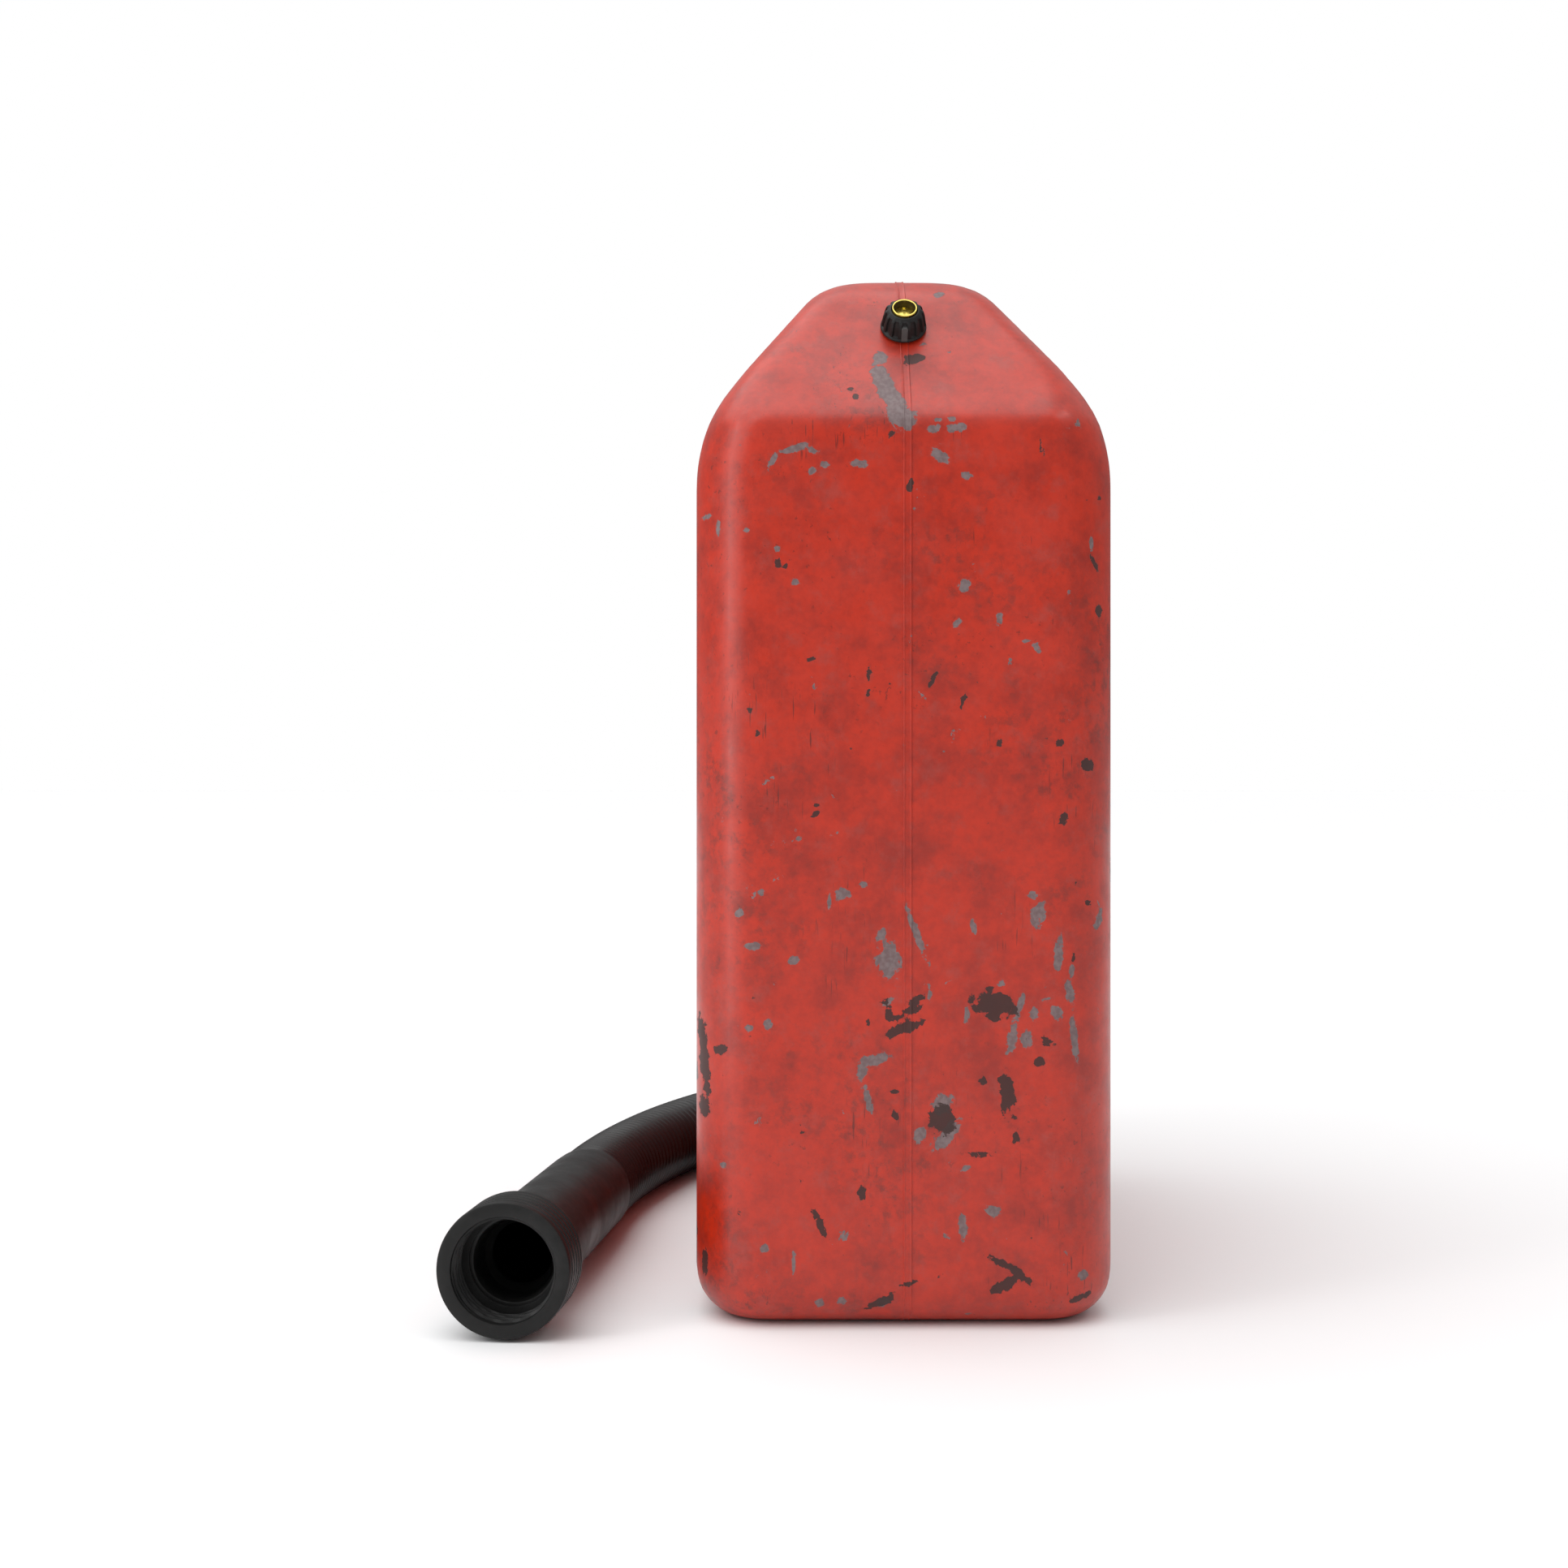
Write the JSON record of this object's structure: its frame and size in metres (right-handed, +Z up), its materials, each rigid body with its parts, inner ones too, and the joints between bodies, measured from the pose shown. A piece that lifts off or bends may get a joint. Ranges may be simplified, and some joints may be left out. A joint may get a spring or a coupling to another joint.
{
  "type": "jerry can",
  "caption": "Flat-sided steel fuel can with a sloped roof, carrying handle, screw caps for its filler and its vent, and a loose flexible pouring spout",
  "frame": {"origin": "on the ground under the middle of the can, at the centre of its footprint", "axes": "X across the can's width, Y along its length with the vent end at -Y and the filler end at +Y, Z up"},
  "size_m": [0.2855, 0.4996, 0.462],
  "materials": {
    "red_paint": "satin, worn",
    "black_plastic": "satin",
    "black_rubber": "matte",
    "yellow_brass": "bright",
    "plated_steel": "dull zinc plate"
  },
  "bodies": {
    "can": {"left_shell": "red_paint", "right_shell": "red_paint", "seam_strip_lower": "red_paint", "seam_strip_top": "red_paint", "handle_tube": "red_paint", "handle_front_ferrule": "red_paint", "handle_rear_ferrule": "red_paint", "vent_neck": "plated_steel", "filler_neck": "plated_steel", "spout_gasket": "black_rubber", "spout_cuff": "black_plastic", "spout_hose": "black_rubber", "spout_ferrule": "black_plastic", "spout_nozzle": "black_plastic"},
    "filler_lift": {"filler_gasket": "black_rubber"},
    "filler_cap": {"filler_cap": "black_plastic"},
    "vent_lift": {"vent_gasket": "black_rubber"},
    "vent_cap": {"vent_cap": "black_plastic", "vent_insert": "yellow_brass"},
    "spout_collar": {"spout_collar": "black_plastic"}
  },
  "joints": [
    {"name": "filler_lift_slide", "type": "slide", "parent": "can", "child": "filler_lift", "axis": [0, 0.8192, 0.5736], "range_m": [0, 0.012]},
    {"name": "filler_cap_turn", "type": "hinge", "parent": "filler_lift", "child": "filler_cap", "pos_m": [0, 0.13994, 0.43], "axis": [0, 0.8192, 0.5736], "range_deg": [0, 1085]},
    {"name": "vent_lift_slide", "type": "slide", "parent": "can", "child": "vent_lift", "axis": [0, -0.8192, 0.5736], "range_m": [0, 0.0048]},
    {"name": "vent_cap_turn", "type": "hinge", "parent": "vent_lift", "child": "vent_cap", "pos_m": [0, -0.14162, 0.4276], "axis": [0, -0.8192, 0.5736], "range_deg": [0, 1085]},
    {"name": "spout_collar_turn", "type": "hinge", "parent": "can", "child": "spout_collar", "pos_m": [-0.1675, -0.188, 0.0293], "axis": [0.0854, 0.9957, -0.0356], "continuous": true}
  ],
  "couplings": [
    {"joint": "filler_cap_turn", "follows": "filler_lift_slide", "rad_per_m": 1570.8},
    {"joint": "vent_cap_turn", "follows": "vent_lift_slide", "rad_per_m": 3927}
  ]
}
